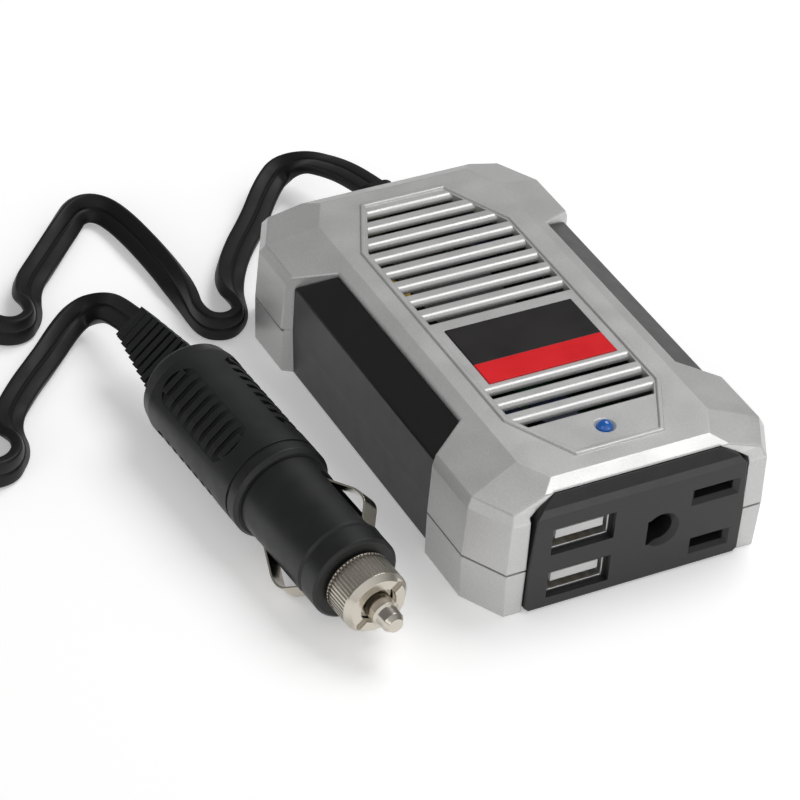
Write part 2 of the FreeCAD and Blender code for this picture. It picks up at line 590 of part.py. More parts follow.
def transformer():
    """Return the transformer's core, a frame with a middle leg, and its winding."""
    half, (front, rear), high = CORE_BOX
    window_half, window_low, window_high = CORE_WINDOW
    core = box((-half, front, BOARD_TOP), (half, rear, BOARD_TOP + high))
    window_low += BOARD_TOP
    window_high += BOARD_TOP
    window = box((-window_half, front - 1, window_low), (window_half, rear + 1, window_high))
    leg = box((-CORE_LEG, front, window_low - 0.5), (CORE_LEG, rear, window_high + 0.5))
    wide, (wind_front, wind_rear), wind_low, wind_high = WINDING_BOX
    winding = box((-wide, wind_front, BOARD_TOP + wind_low), (wide, wind_rear, BOARD_TOP + wind_high))
    inside = box((-CORE_LEG - 0.2, front - 0.2, 0), (CORE_LEG + 0.2, rear + 0.2, OVERSIZE))
    return core.cut(window).fuse(leg), winding.cut(inside)


def electronics():
    """Return the pieces on the main board, by node name."""
    up = Vector(0, 0, 1)
    core, winding = transformer()
    cans = [rod(CAN[0], Vector(x, y, BOARD_TOP), up, CAN[1]) for x, y in CAN_PLACES]
    long, low, high = TRANSISTOR_SIZE
    transistors = []
    sinks = []
    for side in (-1, 1):
        near, far = sorted(side * x for x in TRANSISTOR_X)
        for y in TRANSISTOR_Y:
            transistors.append(box((near, y, BOARD_TOP + low), (far, y + long, BOARD_TOP + high)))
        near, far = sorted(side * x for x in SINK_X)
        sinks.append(box((near, SINK_Y[0], BOARD_TOP + SINK_Z[0]), (far, SINK_Y[1], BOARD_TOP + SINK_Z[1])))
    coil = Part.makeTorus(*RING_COIL, Vector(*RING_PLACE, BOARD_TOP + RING_COIL[1]), up)
    fuse_start = Vector(*BOARD_FUSE_PLACE, BOARD_TOP + BOARD_FUSE[0])
    fuse = rod(BOARD_FUSE[0], fuse_start, Vector(1, 0, 0), BOARD_FUSE[1])
    screws = []
    for x, y in BOARD_POSTS:
        head = rod(BOARD_SCREW_HEAD[0], Vector(x, y, BOARD_TOP), up, BOARD_SCREW_HEAD[1])
        shank = rod(BOARD_SCREW_RADIUS, Vector(x, y, BOARD_SCREW_LOW), up, BOARD_TOP - BOARD_SCREW_LOW)
        screws.append(head.fuse(shank))
    return {"main_board": main_board(), "transformer_core": core, "transformer_winding": winding,
            "capacitors": Part.makeCompound(cans), "power_transistors": Part.makeCompound(transistors),
            "heat_sinks": Part.makeCompound(sinks), "filter_coil": coil, "board_fuse": fuse,
            "board_screws": Part.makeCompound(screws)}


def case_screws():
    """Return the four cross-head screws that come up through the bottom shell."""
    up = Vector(0, 0, 1)
    radius, thick = SCREW_HEAD
    long, half, deep = SCREW_CROSS
    screws = []
    for x, y in CASE_POSTS:
        head = rod(radius, Vector(x, y, SCREW_HEAD_Z), up, thick)
        for wide_x, wide_y in ((long, half), (half, long)):
            head = head.cut(box((x - wide_x, y - wide_y, 0), (x + wide_x, y + wide_y, SCREW_HEAD_Z + deep)))
        shank = rod(SCREW_RADIUS, Vector(x, y, SCREW_HEAD_Z + thick - 0.1), up, SCREW_LENGTH)
        screws.append(head.fuse(shank))
    return Part.makeCompound(screws)


def turn_between(a, b, c):
    """Return the angle in radians by which a route turns at b."""
    return (b - a).getAngle(c - b)


def cord_wire(points, name):
    """Return the route as straight runs joined by tangent arcs, and print each arc's radius."""
    wire = strip_line([Vector(*p) for p in points])
    print(name, "bend radii", [round(e.Curve.Radius, 1) for e in wire.Edges if hasattr(e.Curve, "Radius")])
    return wire


def cord_tube(points, name):
    """Return one stretch of the cord as a round tube of the ribbon's own cross-section area."""
    wire = cord_wire(points, name)
    first = wire.Edges[0]
    start = first.FirstParameter
    circle = Part.makeCircle(CORD_RADIUS, first.valueAt(start), first.tangentAt(start))
    tube = wire.makePipeShell([Part.Wire([circle])], True, False)
    ratio = tube.Volume / (math.pi * CORD_RADIUS ** 2 * wire.Length)
    print(name, "length", round(wire.Length, 1), "volume ratio", round(ratio, 3))
    return tube


def cord_coil():
    """Return the outer shape of the coiled length: a flat ring that lies on the floor."""
    across, high = COIL_SECTION
    x, y = COIL_MIDDLE
    ring = rod(COIL_RADIUS + across / 2, Vector(x, y, 0), Vector(0, 0, 1), high)
    return ring.cut(rod(COIL_RADIUS - across / 2, Vector(x, y, -1), Vector(0, 0, 1), high + 2))


def cord_tie(coil):
    """Return the band that holds the coil together on the side away from the case."""
    across, high = COIL_SECTION
    x = COIL_MIDDLE[0] - COIL_RADIUS
    y = COIL_MIDDLE[1]
    half = across / 2 + TIE_THICK
    outer = box((x - half, y - TIE_HALF, 0), (x + half, y + TIE_HALF, high + 1.0))
    return outer.cut(coil)


def gland():
    """Return the cord's strain relief: a flange inside the rear wall and a tapered, ribbed tail outside."""
    start = CASE_HALF - WALL - 1.6
    body = oval(5.2, 3.6, start, 1.4)
    body = body.fuse(oval(4.4, 2.55, start + 1.0, WALL + 1.2))
    pitch = GLAND_REACH / GLAND_RINGS
    for i in range(GLAND_RINGS):
        shrink = 0.35 * i
        body = body.fuse(oval(5.9 - shrink, 4.2 - shrink, CASE_HALF + pitch * i, pitch * 0.62))
        body = body.fuse(oval(4.9 - shrink, 3.2 - shrink, CASE_HALF + pitch * i, pitch))
    return body


def oval(half_wide, half_high, start, length):
    """Return a round-ended bar along Y, centred on the gland's axis."""
    flat = half_wide - half_high
    bar = box((GLAND_X - flat, start, GLAND_Z - half_high),
              (GLAND_X + flat, start + length, GLAND_Z + half_high))
    for way in (-1, 1):
        bar = bar.fuse(rod(half_high, Vector(GLAND_X + way * flat, start, GLAND_Z), Vector(0, 1, 0), length))
    return bar


def laid(shape):
    """Move a plug piece from its own frame, +Z to the tip, to where the plug lies."""
    shape = shape.copy()
    shape.Placement = plug_placement().multiply(shape.Placement)
    return shape


def plug_placement():
    """Return the plug's place: its +Z turned to point to the front, its roll and its rise."""
    turn = Rotation(Vector(0, 0, 1), PLUG_YAW).multiply(Rotation(Vector(1, 0, 0), 90 + PLUG_RISE))
    return Placement(PLUG_FRONT, turn.multiply(Rotation(Vector(0, 0, 1), PLUG_ROLL)))


def turned(outline):
    """Return the solid of revolution about Z of a closed (radius, z) outline."""
    points = [Vector(r, 0, z) for r, z in outline]
    return Part.Face(Part.makePolygon(points + [points[0]])).revolve(Vector(0, 0, 0), Vector(0, 0, 1), 360)


def plug_handle():
    """Return the hollow handle, with rings near its front step and four ribbed grip pads."""
    rear = -HANDLE_REAR
    front = -BARREL_REAR
    out = HANDLE_RADIUS
    outline = [(out - 2.2, front), (out - 0.7, front - 0.3), (out, front - 1.2), (out, rear + 6.0),
               (out - 0.6, rear + 3.0), (out - 2.4, rear + 0.8), (out - 4.2, rear), (4.2, rear),
               (4.2, rear + 3.0), (out - 3.0, rear + 7.0), (out - 3.0, front)]
    body = turned(outline)
    low = front - 4.2
    body = body.cut(turned([(HANDLE_RADIUS - 0.35, low), (OVERSIZE, low), (OVERSIZE, low + 0.7),
                            (HANDLE_RADIUS - 0.35, low + 0.7)]))
    for quarter in range(4):
        body = body.cut(pad_tool(quarter * 90)).fuse(pad_ribs(quarter * 90))
    return body


def pad_tool(angle):
    """Return the round-ended tool that cuts one grip pad."""
    half = PAD_LONG / 2 - PAD_WIDE / 2
    tool = box((PAD_DEPTH, -PAD_WIDE / 2, PAD_MIDDLE - half), (OVERSIZE, PAD_WIDE / 2, PAD_MIDDLE + half))
    for end in (PAD_MIDDLE - half, PAD_MIDDLE + half):
        tool = tool.fuse(rod(PAD_WIDE / 2, Vector(PAD_DEPTH, 0, end), Vector(1, 0, 0), OVERSIZE))
    tool.rotate(Vector(0, 0, 0), Vector(0, 0, 1), angle)
    return tool


def pad_ribs(angle):
    """Return the ribs across one grip pad."""
    ribs = []
    pitch = PAD_LONG / PAD_RIBS
    for i in range(PAD_RIBS):
        place = (i - (PAD_RIBS - 1) / 2) * pitch
        over = max(0.0, abs(place) - (PAD_LONG - PAD_WIDE) / 2)
        half = math.sqrt(max(0.0, (PAD_WIDE / 2) ** 2 - over ** 2)) - RIB_END_GAP
        z = PAD_MIDDLE + place
        ribs.append(box((PAD_DEPTH - 0.5, -half, z - RIB_HALF), (PAD_DEPTH + RIB_HIGH, half, z + RIB_HALF)))
    ribs = ribs[0].multiFuse(ribs[1:])
    ribs = ribs.common(rod(HANDLE_RADIUS - 0.05, Vector(0, 0, -HANDLE_REAR), Vector(0, 0, 1), HANDLE_REAR))
    ribs.rotate(Vector(0, 0, 0), Vector(0, 0, 1), angle)
    return ribs


def plug_barrel():
    """Return the barrel, its collar and threaded neck, with two windows for the side contacts."""
    inner = BARREL_RADIUS - PLUG_WALL
    collar = -COLLAR_LENGTH
    rear = -BARREL_REAR
    outline = [(5.0, 0), (COLLAR_RADIUS - 0.6, 0), (COLLAR_RADIUS, -0.6), (COLLAR_RADIUS, collar),
               (COLLAR_RADIUS - 0.4, collar - 0.3), (BARREL_RADIUS - 0.3, collar - 0.6),
               (BARREL_RADIUS, collar - 1.0), (BARREL_RADIUS, rear), (inner - 0.2, rear),
               (inner - 0.2, rear - 8.0), (inner - 1.6, rear - 8.0), (inner - 1.6, rear),
               (inner, rear + 2), (inner, -3.0), (5.0, -3.0)]
    body = turned(outline)
    neck = turned([(5.0, -1.0), (NECK_RADIUS, -1.0), (NECK_RADIUS, 6.4), (5.0, 6.4)])
    body = body.fuse(neck)
    for side in (1, -1):
        body = body.cut(box((min(0, side * OVERSIZE), -CONTACT_WIDE / 2 - 0.35, CONTACT_REAR - 0.8),
                            (max(0, side * OVERSIZE), CONTACT_WIDE / 2 + 0.35, CONTACT_FRONT + 0.8)))
    return body


def end_cap():
    """Return the knurled cap that screws on the neck, with a chamfered front and two spanner notches."""
    front = NUT_LENGTH
    bore = NECK_RADIUS + 0.05
    outline = [(bore, 0.3), (NUT_RADIUS - 0.3, 0.3), (NUT_RADIUS, 0.6), (NUT_RADIUS, front - 1.3),
               (NUT_RADIUS - 1.1, front), (NUT_HOLE, front), (NUT_HOLE, front - 1.4), (bore, front - 1.4)]
    body = turned(outline)
    for i in range(KNURLS):
        groove = rod(0.28, Vector(NUT_RADIUS + 0.05, 0, 0.9), Vector(0, 0, 1), front - 2.6)
        groove.rotate(Vector(0, 0, 0), Vector(0, 0, 1), 360 / KNURLS * i)
        body = body.cut(groove)
    return body.cut(box((-OVERSIZE, -0.9, front - 0.7), (OVERSIZE, 0.9, front + 1)))


def tip():
    """Return the centre tip, whose flange is held behind the end cap."""
    return turned(TIP_OUTLINE)


def plug_fuse():
    """Return the glass fuse behind the tip, a little wider at its two end caps."""
    return turned(FUSE_OUTLINE)


def tip_spring():
    """Return the spring behind the fuse, as a sleeve of its pushed-home length, and the seat behind it."""
    return turned(SPRING_OUTLINE), turned(SEAT_OUTLINE)


def side_contact(side):
    """Return one bowed side contact: a thin strip that stands through its window in the barrel."""
    base = BARREL_RADIUS - 0.55
    peak = BARREL_RADIUS + CONTACT_BOW
    corners = [(base, CONTACT_REAR), (base, CONTACT_REAR + 1.5), (peak - 0.6, -13.6), (peak - 0.6, -10.6),
               (base, CONTACT_FRONT - 0.6)]
    solids = []
    for inset in (0, CONTACT_SHEET):
        path = [Vector(side * (radius - inset), 0, z) for radius, z in corners]
        solids.append(strip_line(path))
    outer, inner = solids
    ends = [Part.LineSegment(outer.Vertexes[-1].Point, inner.Vertexes[-1].Point).toShape(),
            Part.LineSegment(inner.Vertexes[0].Point, outer.Vertexes[0].Point).toShape()]
    face = Part.Face(Part.Wire(Part.__sortEdges__(outer.Edges + inner.Edges + ends)))
    strip = face.extrude(Vector(0, CONTACT_WIDE, 0))
    strip.translate(Vector(0, -CONTACT_WIDE / 2, 0))
    return strip


def strip_line(corners):
    """Return a wire through the corners' runs with each corner turned by a tangent arc."""
    edges = []
    last = corners[0]
    for a, b, c in zip(corners, corners[1:], corners[2:]):
        cut = 0.45 * min((b - a).Length, (c - b).Length)
        start = b + (a - b).normalize() * cut
        end = b + (c - b).normalize() * cut
        half_turn = turn_between(a, b, c) / 2
        radius = cut / math.tan(half_turn)
        inward = ((a - b).normalize() + (c - b).normalize()).normalize()
        edges.append(Part.LineSegment(last, start).toShape())
        edges.append(Part.Arc(start, b + inward * (radius / math.cos(half_turn) - radius), end).toShape())
        last = end
    edges.append(Part.LineSegment(last, corners[-1]).toShape())
    return Part.Wire(edges)


def plug_boot():
    """Return the tapered, ribbed boot that the cord leaves the plug by."""
    rear = -HANDLE_REAR
    body = box((-4.0, -2.8, rear - BOOT_LENGTH), (4.0, 2.8, rear + 2.0))
    body = body.fuse(rod(3.9, Vector(0, 0, rear - 1.5), Vector(0, 0, 1), 4.8))
    pitch = BOOT_LENGTH / BOOT_RIBS
    for i in range(BOOT_RIBS):
        high = rear - 0.1 - pitch * i
        part = i / (BOOT_RIBS - 1)
        wide = BOOT_WIDE[0] + (BOOT_WIDE[1] - BOOT_WIDE[0]) * part
        thick = BOOT_THICK[0] + (BOOT_THICK[1] - BOOT_THICK[0]) * part
        body = body.fuse(box((-wide, -thick, high - pitch * 0.6), (wide, thick, high)))
    return body


def main():
    """Build and write every node."""
    os.makedirs("parts", exist_ok=True)
    bottom, top = shells()
    export("bottom_shell", bottom)
    export("top_shell", top)
    export("left_grip", grip(-1))
    export("right_grip", grip(1))
    export("front_panel", front_panel())
    housing, contacts = outlet()
    export("outlet_housing", housing)
    for name, shape in contacts.items():
        export(name, shape)
    metal, tongues, springs, board = usb_ports()
    export("usb_shells", Part.makeCompound(metal))
    export("usb_tongues", Part.makeCompound(tongues))
    export("usb_contacts", Part.makeCompound(springs))
    export("usb_board", board)
    label, band, lamp = label_and_lamp()
    export("label_plate", label)
    export("label_band", band)
    export("power_lamp", lamp)
    for name, shape in electronics().items():
        export(name, shape)
    export("case_screws", case_screws())
    export("cord_gland", gland())
    coil = cord_coil()
    export("power_cord", cord_tube(ROUTE_OUT, "power_cord"))
    export("plug_cord", cord_tube(ROUTE_BACK, "plug_cord"))
    export("cord_coil", coil)
    export("cord_tie", cord_tie(coil))
    spring, seat = tip_spring()
    pieces = {"plug_handle": plug_handle(), "plug_barrel": plug_barrel(), "plug_end_cap": end_cap(),
              "centre_tip": tip(), "plug_fuse": plug_fuse(), "tip_spring": spring, "spring_seat": seat,
              "upper_contact": side_contact(1), "lower_contact": side_contact(-1), "plug_boot": plug_boot()}
    for name, shape in pieces.items():
        export(name, laid(shape))
    way = plug_placement().Rotation
    print("plug axis", way.multVec(Vector(0, 0, 1)), "contact way", way.multVec(Vector(1, 0, 0)))
    print("boot end", plug_placement().multVec(Vector(0, 0, -HANDLE_REAR - BOOT_LENGTH)))
    print("cap at", plug_placement().multVec(Vector(0, 0, NUT_LENGTH)))


main()
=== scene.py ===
"""Pocket power inverter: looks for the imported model, its flat cord, and the studio round it."""
import bpy
import math
from mathutils import Matrix, Vector


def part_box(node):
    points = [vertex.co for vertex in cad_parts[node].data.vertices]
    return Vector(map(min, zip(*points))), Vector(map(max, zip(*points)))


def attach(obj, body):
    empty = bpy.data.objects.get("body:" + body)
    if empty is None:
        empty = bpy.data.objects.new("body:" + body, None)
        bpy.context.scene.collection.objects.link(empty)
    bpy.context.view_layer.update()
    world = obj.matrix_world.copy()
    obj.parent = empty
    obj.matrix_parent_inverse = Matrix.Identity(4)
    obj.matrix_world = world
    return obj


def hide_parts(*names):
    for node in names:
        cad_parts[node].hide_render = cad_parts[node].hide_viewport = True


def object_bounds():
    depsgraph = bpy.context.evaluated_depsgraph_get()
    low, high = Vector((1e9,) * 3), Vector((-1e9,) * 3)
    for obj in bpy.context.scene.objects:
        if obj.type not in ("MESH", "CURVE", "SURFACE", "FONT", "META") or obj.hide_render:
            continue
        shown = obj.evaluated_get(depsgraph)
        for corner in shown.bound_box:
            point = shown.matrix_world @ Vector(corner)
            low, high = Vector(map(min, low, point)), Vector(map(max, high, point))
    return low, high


MM = 0.001

# camera: where it stands in metres and how it is turned in degrees, in the case's own frame
CAMERA_PLACE = (-0.31929, -0.49834, 0.45507)
CAMERA_AZIMUTH = -30.65
CAMERA_ELEVATION = 37.35
CAMERA_ROLL = -4.98
CAMERA_LENS = 158.72
CAMERA_NEAREST = 0.01
SENSOR = 36.0

# floor: half its side and how far it lies under the part, in metres
FLOOR_REACH = 3.0
FLOOR_DROP = 0.0001
FLOOR_COLOR = (0.9, 0.9, 0.9, 1)
FLOOR_ROUGHNESS = 0.9
FLOOR_GLOW = 0.3

# surroundings: bright where a direction's y is below FADE_START, dim where it is above FADE_END
WORLD_FRONT = 1.1
WORLD_REAR = 0.22
FADE_START = -1.0
FADE_END = -0.2

# lights: place and target in metres, size in metres, power in watts
KEY_LIGHT = {"place": (0.44, 0.14, 0.84), "target": (0, 0, 0.02), "size": 0.6, "power": 4.9}
LEFT_LIGHT = {"place": (-0.9, -0.3, 0.4), "size": 0.5, "power": 1.2}
FRONT_LIGHT = {"place": (0.4, -0.95, 0.1), "target": (0, -0.05, 0.02), "size": 0.3, "power": 0.9}

# materials: what every surface shares
FINE_DETAIL = 4.0
SLOW_DETAIL = 3.0
SLOW_SHARE = 0.04
PATTERN_LOW = 0.3
PATTERN_HIGH = 0.7
EDGE_SAMPLES = 6
BUMP_STRENGTH = 0.5
LAMP_GLOW_COLOR = (0.0, 0.17, 0.7, 1)
LAMP_GLOW = 0.22
GLASS_CLEARNESS = 0.85

# cord: a flat two-core ribbon in millimetres
CORD_WIDE = 6.6
LOBE = CORD_WIDE / 4
HALF_THICK = 1.3
SQUARENESS = 0.45

# each core's outline runs this many degrees either way from its outer edge, and the rest is the groove
OUTLINE_REACH = 150
OUTLINE_STEP = 15

# coil: it winds inwards, and the ribbon rises and turns flat over its last steps
COIL_MIDDLE = (-147.0, 66.0)
COIL_OUTER = 39.9
COIL_PITCH = 3.35
COIL_START = 75.0
COIL_STEP = 30.0
COIL_STEPS = 30
COIL_Z = 3.4
LIFT_STEPS = 3
LIFT_HEIGHT = 5.0
FLAT_LEAN = 90

# route: each point is x, y, z and how far the ribbon leans from standing on its edge, in degrees
ROUTE_OUT = [
    (5.0, 68.4, 14.8, 90), (3.9, 76.0, 14.0, 88), (2.1, 84.5, 11.9, 85), (0.2, 92.6, 8.6, 75),
    (-4.6, 95.6, 5.8, 62), (-9.8, 91.9, 4.0, 76), (-17.6, 82.3, 2.9, 79), (-26.3, 73.2, 2.6, 76),
    (-34.0, 61.5, 3.0, 45), (-35.2, 51.0, 3.4, 0), (-40.1, 47.8, 3.4, -4), (-45.0, 51.0, 3.4, 5),
    (-43.6, 64.0, 3.4, 45), (-43.9, 80.0, 3.4, 52), (-45.6, 95.0, 3.4, 40), (-48.3, 100.2, 3.4, 30),
    (-52.6, 100.8, 3.4, 35), (-57.2, 96.4, 3.0, 62), (-67.0, 86.2, 2.6, 76), (-75.5, 77.2, 2.9, 60),
    (-77.4, 66.4, 3.4, 5), (-82.3, 63.4, 3.4, 0), (-87.2, 66.2, 3.4, 5), (-88.0, 76.0, 3.4, 40),
    (-92.5, 86.5, 3.4, 40), (-104.0, 94.0, 3.4, 10), (-121.0, 98.3, 3.4, 0)]
ROUTE_BACK = [
    (-134.5, 31.5, 8.6, 90), (-122.5, 27.5, 7.6, 80), (-112.0, 21.8, 4.2, 20), (-102.5, 19.6, 3.4, 0),
    (-96.9, 26.0, 3.4, -5), (-97.6, 35.0, 3.2, -50), (-90.2, 44.2, 2.7, -74), (-80.3, 53.4, 2.7, -74),
    (-73.0, 60.6, 3.2, -55), (-68.0, 63.6, 4.4, -45), (-64.4, 60.4, 7.2, -42), (-63.7, 53.6, 10.6, -46),
    (-63.3, 45.4, 12.3, -48)]
ROUTE_ORDER = 3
SAMPLES = 14
SHORTEST_STEP = 0.05
FLOOR_GAP = 0.03

# tie: a closed strip round the coil, in millimetres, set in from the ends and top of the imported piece
TIE_SHIFT = 0.3
TIE_END_INSET = 2.35
TIE_TOP_INSET = 2.5
TIE_CORNER = 2.2
TIE_BOTTOM = 0.6
TIE_HALF_WIDE = 4.0
TIE_THICK = 0.45
QUARTER_TURN = 90
TIE_ARC_STEP = 15

# which pieces wear each material
WEAR = {
    "silver_shell": ["top_shell", "bottom_shell"],
    "grip_skin": ["left_grip", "right_grip"],
    "panel_skin": ["front_panel"],
    "outlet_body": ["outlet_housing"],
    "label_face": ["label_plate"],
    "label_red_face": ["label_band"],
    "lamp_lens": ["power_lamp"],
    "brass_spring": ["hot_contact", "neutral_contact", "ground_contact", "usb_contacts", "spring_seat"],
    "plated_shell": ["usb_shells"],
    "tongue_plastic": ["usb_tongues"],
    "board_mask": ["usb_board", "main_board"],
    "ferrite_core": ["transformer_core"],
    "winding_tape": ["transformer_winding", "filter_coil"],
    "can_sleeve": ["capacitors"],
    "chip_package": ["power_transistors"],
    "sink_metal": ["heat_sinks"],
    "fuse_glass": ["board_fuse", "plug_fuse"],
    "screw_metal": ["board_screws", "case_screws", "tip_spring"],
    "cord_jacket": ["cord_gland"],
    "plug_plastic": ["plug_handle", "plug_barrel", "plug_boot"],
    "nickel_plate": ["plug_end_cap", "centre_tip", "upper_contact", "lower_contact"]}

MATERIALS = {}


def nodes_of(material):
    """Return a material's node tree and its shader."""
    material.use_nodes = True
    tree = material.node_tree
    return tree, tree.nodes["Principled BSDF"]


def grain(tree, scale, detail):
    """Return a noise node in object space; scale is grains per millimetre."""
    place = tree.nodes.new("ShaderNodeTexCoord")
    noise = tree.nodes.new("ShaderNodeTexNoise")
    noise.inputs["Scale"].default_value = scale / MM
    noise.inputs["Detail"].default_value = detail
    tree.links.new(place.outputs["Object"], noise.inputs["Vector"])
    return noise


def spread(tree, source, low, high):
    """Return a node that maps the middle of a pattern's range on to low to high."""
    node = tree.nodes.new("ShaderNodeMapRange")
    node.inputs["To Min"].default_value = low
    node.inputs["To Max"].default_value = high
    node.inputs["From Min"].default_value = PATTERN_LOW
    node.inputs["From Max"].default_value = PATTERN_HIGH
    tree.links.new(source, node.inputs["Value"])
    return node


def shade(tree, color, factor, change):
    """Return a mix of the colour made darker and lighter by change, driven by a pattern."""
    mix = tree.nodes.new("ShaderNodeMix")
    mix.data_type = "RGBA"
    dark = [c * (1 - change) for c in color]
    light = [min(1.0, c * (1 + change)) for c in color]
    mix.inputs["A"].default_value = (*dark, 1)
    mix.inputs["B"].default_value = (*light, 1)
    tree.links.new(factor, mix.inputs["Factor"])
    return mix


def blend(tree, first, second, share):
    """Return a mix of two patterns with the given share of the second."""
    mix = tree.nodes.new("ShaderNodeMix")
    mix.inputs["Factor"].default_value = share
    tree.links.new(first, mix.inputs["A"])
    tree.links.new(second, mix.inputs["B"])
    return mix


def surface(name, color, roughness, metallic=0.0, size=2.0, height=0.01, change=0.06, gloss_change=0.06,
            stretch=None, coat=0.0, specular=0.5, edge_round=0.2, speckle=0.0):
    """Return a moulded or metal surface: fine bumps, a slow drift of colour and uneven gloss.

    size is in grains per millimetre, and height and edge_round are in millimetres.
    """
    material = bpy.data.materials.new(name)
    tree, shader = nodes_of(material)
    fine = grain(tree, size, FINE_DETAIL)
    slow = grain(tree, size * SLOW_SHARE, SLOW_DETAIL)
    if stretch:
        scaled = tree.nodes.new("ShaderNodeMapping")
        scaled.inputs["Scale"].default_value = stretch
        link = fine.inputs["Vector"].links[0]
        tree.links.new(link.from_socket, scaled.inputs["Vector"])
        tree.links.new(scaled.outputs["Vector"], fine.inputs["Vector"])
    pattern = blend(tree, slow.outputs["Fac"], fine.outputs["Fac"], speckle)
    share = spread(tree, pattern.outputs["Result"], 0.0, 1.0)
    tone = shade(tree, color, share.outputs["Result"], change)
    tree.links.new(tone.outputs["Result"], shader.inputs["Base Color"])
    rough = spread(tree, slow.outputs["Fac"], roughness - gloss_change, roughness + gloss_change)
    tree.links.new(rough.outputs["Result"], shader.inputs["Roughness"])
    edge = tree.nodes.new("ShaderNodeBevel")
    edge.samples = EDGE_SAMPLES
    edge.inputs["Radius"].default_value = edge_round * MM
    bump = tree.nodes.new("ShaderNodeBump")
    tree.links.new(edge.outputs["Normal"], bump.inputs["Normal"])
    bump.inputs["Strength"].default_value = BUMP_STRENGTH
    bump.inputs["Distance"].default_value = height * MM
    tree.links.new(fine.outputs["Fac"], bump.inputs["Height"])
    tree.links.new(bump.outputs["Normal"], shader.inputs["Normal"])
    shader.inputs["Metallic"].default_value = metallic
    shader.inputs["Coat Weight"].default_value = coat
    shader.inputs["Specular IOR Level"].default_value = specular
    MATERIALS[name] = material
    return material


def lamp_lens():
    """Make the blue lens of the power lamp, lit faintly from inside."""
    material = surface("lamp_lens", (0.0, 0.055, 0.24), 0.12, size=3.0, height=0.004, coat=0.6)
    shader = material.node_tree.nodes["Principled BSDF"]
    shader.inputs["Emission Color"].default_value = LAMP_GLOW_COLOR
    shader.inputs["Emission Strength"].default_value = LAMP_GLOW


def glass():
    """Make the fuses' glass, which is nearly clear."""
    material = surface("fuse_glass", (0.8, 0.86, 0.86), 0.08, size=0.8, height=0.01)
    shader = material.node_tree.nodes["Principled BSDF"]
    shader.inputs["Transmission Weight"].default_value = GLASS_CLEARNESS


def winding_tape():
    """Make yellow winding tape with the turns of wire showing through as fine rings."""
    surface("winding_tape", (0.62, 0.42, 0.07), 0.4, size=1.2, height=0.06, stretch=(0.1, 6.0, 1.0),
            change=0.15)


def board_green():
    """Make the solder mask of the circuit boards, a mottled green."""
    surface("board_mask", (0.02, 0.12, 0.05), 0.35, size=0.9, height=0.05, change=0.3)


def make_materials():
    """Make every material."""
    surface("silver_shell", (0.54, 0.54, 0.535), 0.38, metallic=0.45, size=2.6, height=0.03, change=0.08,
            edge_round=0.35, speckle=0.8)
    surface("grip_skin", (0.007, 0.007, 0.0073), 0.36, size=6.0, height=0.02, change=0.05, specular=0.45,
            edge_round=0.4, gloss_change=0.025)
    surface("panel_skin", (0.017, 0.017, 0.0175), 0.36, size=7.0, height=0.02, change=0.05, specular=0.4,
            gloss_change=0.03)
    surface("outlet_body", (0.006, 0.006, 0.006), 0.6, size=7.0, height=0.02, specular=0.2)
    surface("label_face", (0.012, 0.010, 0.011), 0.35, size=3.0, height=0.002, specular=0.3)
    surface("label_red_face", (0.74, 0.006, 0.012), 0.38, size=3.0, height=0.002, specular=0.25)
    surface("brass_spring", (0.78, 0.58, 0.27), 0.28, metallic=1.0, size=3.0, height=0.01,
            stretch=(1, 12, 1))
    surface("plated_shell", (0.74, 0.74, 0.73), 0.32, metallic=1.0, size=3.0, height=0.004,
            stretch=(12, 1, 1))
    surface("tongue_plastic", (0.55, 0.55, 0.545), 0.4, size=4.0, height=0.01)
    surface("ferrite_core", (0.045, 0.045, 0.048), 0.45, size=5.0, height=0.05, change=0.2)
    surface("can_sleeve", (0.015, 0.02, 0.05), 0.25, size=2.0, height=0.01, coat=0.3)
    surface("chip_package", (0.02, 0.02, 0.02), 0.5, size=6.0, height=0.02, change=0.1)
    surface("sink_metal", (0.72, 0.72, 0.73), 0.35, metallic=1.0, size=2.0, height=0.02,
            stretch=(1, 1, 15))
    surface("screw_metal", (0.55, 0.55, 0.54), 0.3, metallic=1.0, size=3.0, height=0.01)
    surface("cord_jacket", (0.006, 0.006, 0.0063), 0.5, size=4.0, height=0.01, change=0.08, specular=0.25,
            edge_round=0.1)
    surface("tie_weave", (0.015, 0.015, 0.016), 0.8, size=2.5, height=0.15, change=0.3, stretch=(4, 1, 1))
    surface("plug_plastic", (0.010, 0.0105, 0.011), 0.42, size=5.0, height=0.02, change=0.08, specular=0.4)
    surface("nickel_plate", (0.60, 0.56, 0.49), 0.2, metallic=1.0, size=2.0, height=0.004, change=0.04,
            edge_round=0.1)
    lamp_lens()
    glass()
    winding_tape()
    board_green()


def dress_nodes(frame):
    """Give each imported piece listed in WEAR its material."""
    for material, names in WEAR.items():
        for name in names:
            piece = frame["nodes"][name]
            piece.data.materials.clear()
            piece.data.materials.append(MATERIALS[material])


def route_points():
    """Return the whole cord's control points in order, each with its lean, in millimetres and degrees."""
    coil = []
    for i in range(COIL_STEPS):
        turned = COIL_STEP * (i + 0.5)
        angle = math.radians(COIL_START + turned)
        radius = COIL_OUTER - COIL_PITCH * turned / 360
        rise = max(0.0, (i + LIFT_STEPS - COIL_STEPS) / LIFT_STEPS)
        x = COIL_MIDDLE[0] + radius * math.cos(angle)
        y = COIL_MIDDLE[1] + radius * math.sin(angle)
        coil.append((x, y, COIL_Z + LIFT_HEIGHT * rise, FLAT_LEAN * rise))
    return ROUTE_OUT + coil + ROUTE_BACK


